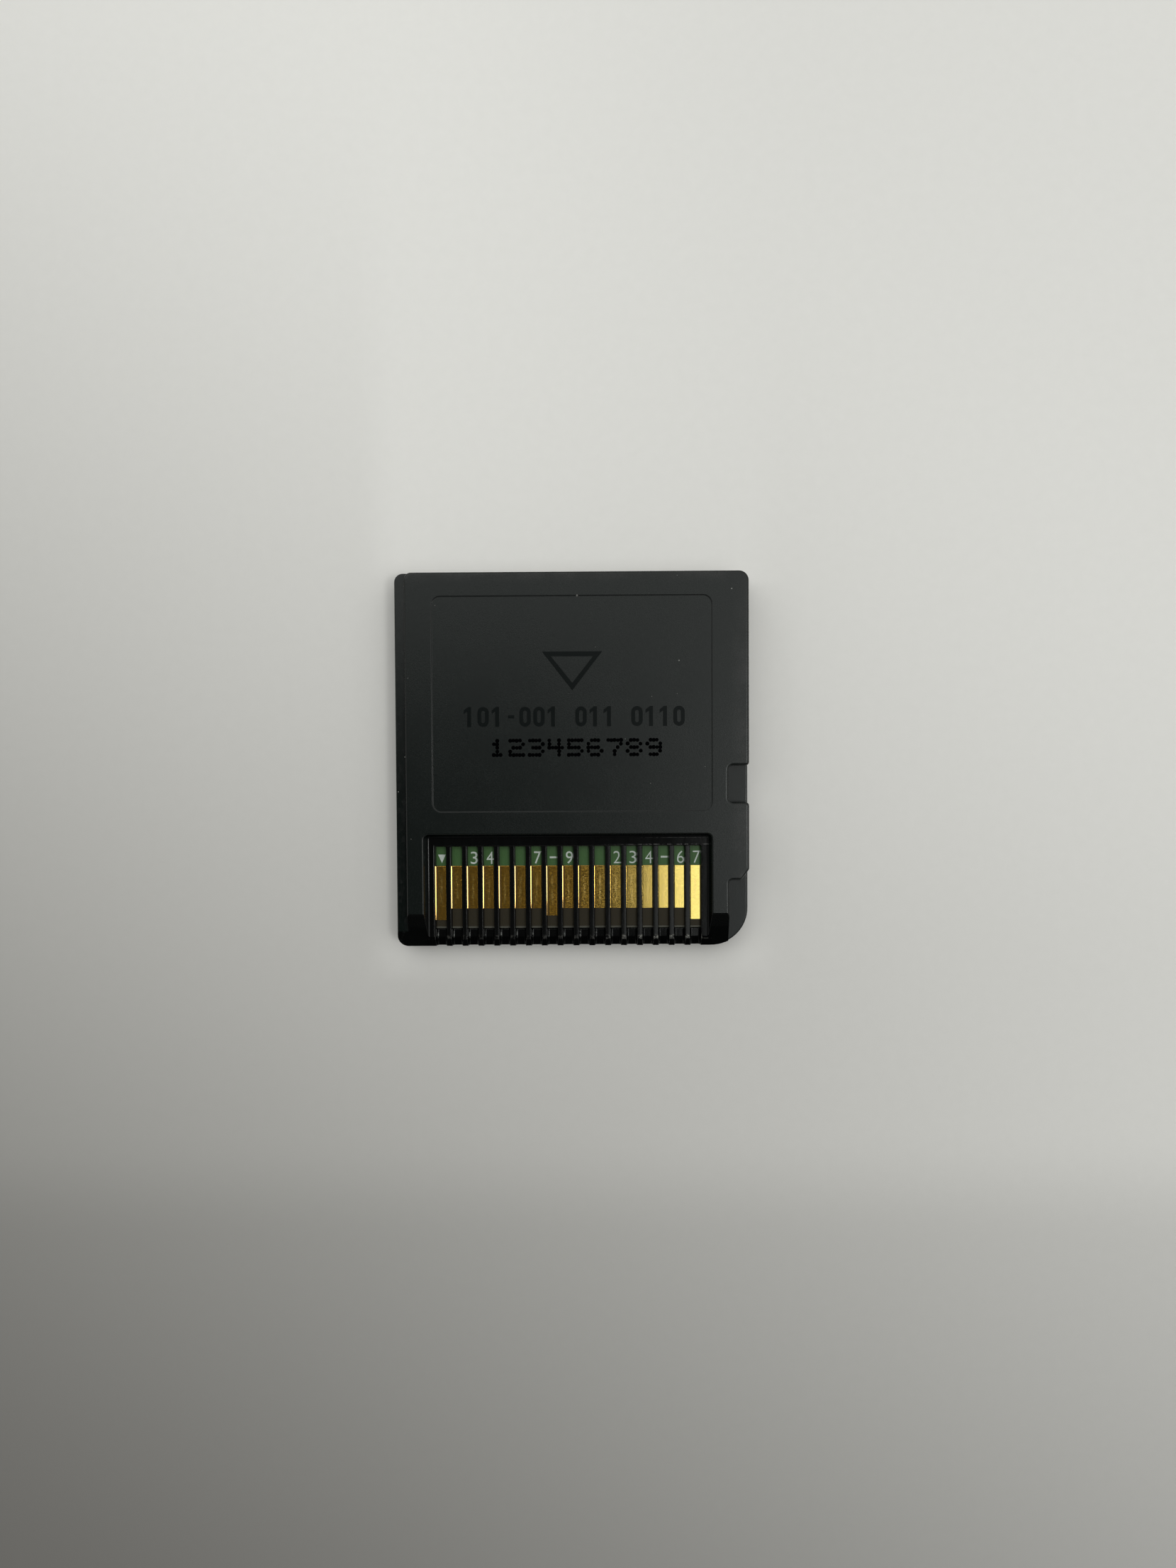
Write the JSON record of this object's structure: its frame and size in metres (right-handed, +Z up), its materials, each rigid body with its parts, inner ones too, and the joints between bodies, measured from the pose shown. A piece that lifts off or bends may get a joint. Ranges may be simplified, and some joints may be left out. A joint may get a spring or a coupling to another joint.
{
  "type": "game cartridge",
  "caption": "Thin square plastic game card with a ribbed window over gold edge contacts, a guide rail step, a latch notch and a sloped insertion edge.",
  "frame": {"origin": "centre of the card's outline, on the label face that it lies on", "axes": "+Z up out of the contact side, +Y away from the contact edge, +X to the latch notch"},
  "size_m": [0.033, 0.035, 0.0038],
  "materials": {
    "shell_plastic": "fine matte moulded texture, smooth and glossy in the contact window",
    "board_laminate": "green coating, bare brown laminate along the contact edge",
    "contact_gold": "gold plated, finely brushed",
    "chip_resin": "moulded resin",
    "lead_tin": "tin plated",
    "capacitor_body": "fired ceramic with tinned ends",
    "resistor_body": "glazed film with tinned ends"
  },
  "bodies": {
    "root": {"back_shell": "shell_plastic", "front_shell": "shell_plastic", "circuit_board": "board_laminate", "contact_01": "contact_gold", "contact_02": "contact_gold", "contact_03": "contact_gold", "contact_04": "contact_gold", "contact_05": "contact_gold", "contact_06": "contact_gold", "contact_07": "contact_gold", "contact_08": "contact_gold", "contact_09": "contact_gold", "contact_10": "contact_gold", "contact_11": "contact_gold", "contact_12": "contact_gold", "contact_13": "contact_gold", "contact_14": "contact_gold", "contact_15": "contact_gold", "contact_16": "contact_gold", "contact_17": "contact_gold", "rom_chip": "chip_resin", "save_chip": "chip_resin", "rom_chip_leads": "lead_tin", "save_chip_leads": "lead_tin", "capacitor_1": "capacitor_body", "capacitor_2": "capacitor_body", "capacitor_3": "capacitor_body", "resistor_1": "resistor_body", "resistor_2": "resistor_body", "resistor_3": "resistor_body"}
  },
  "joints": []
}
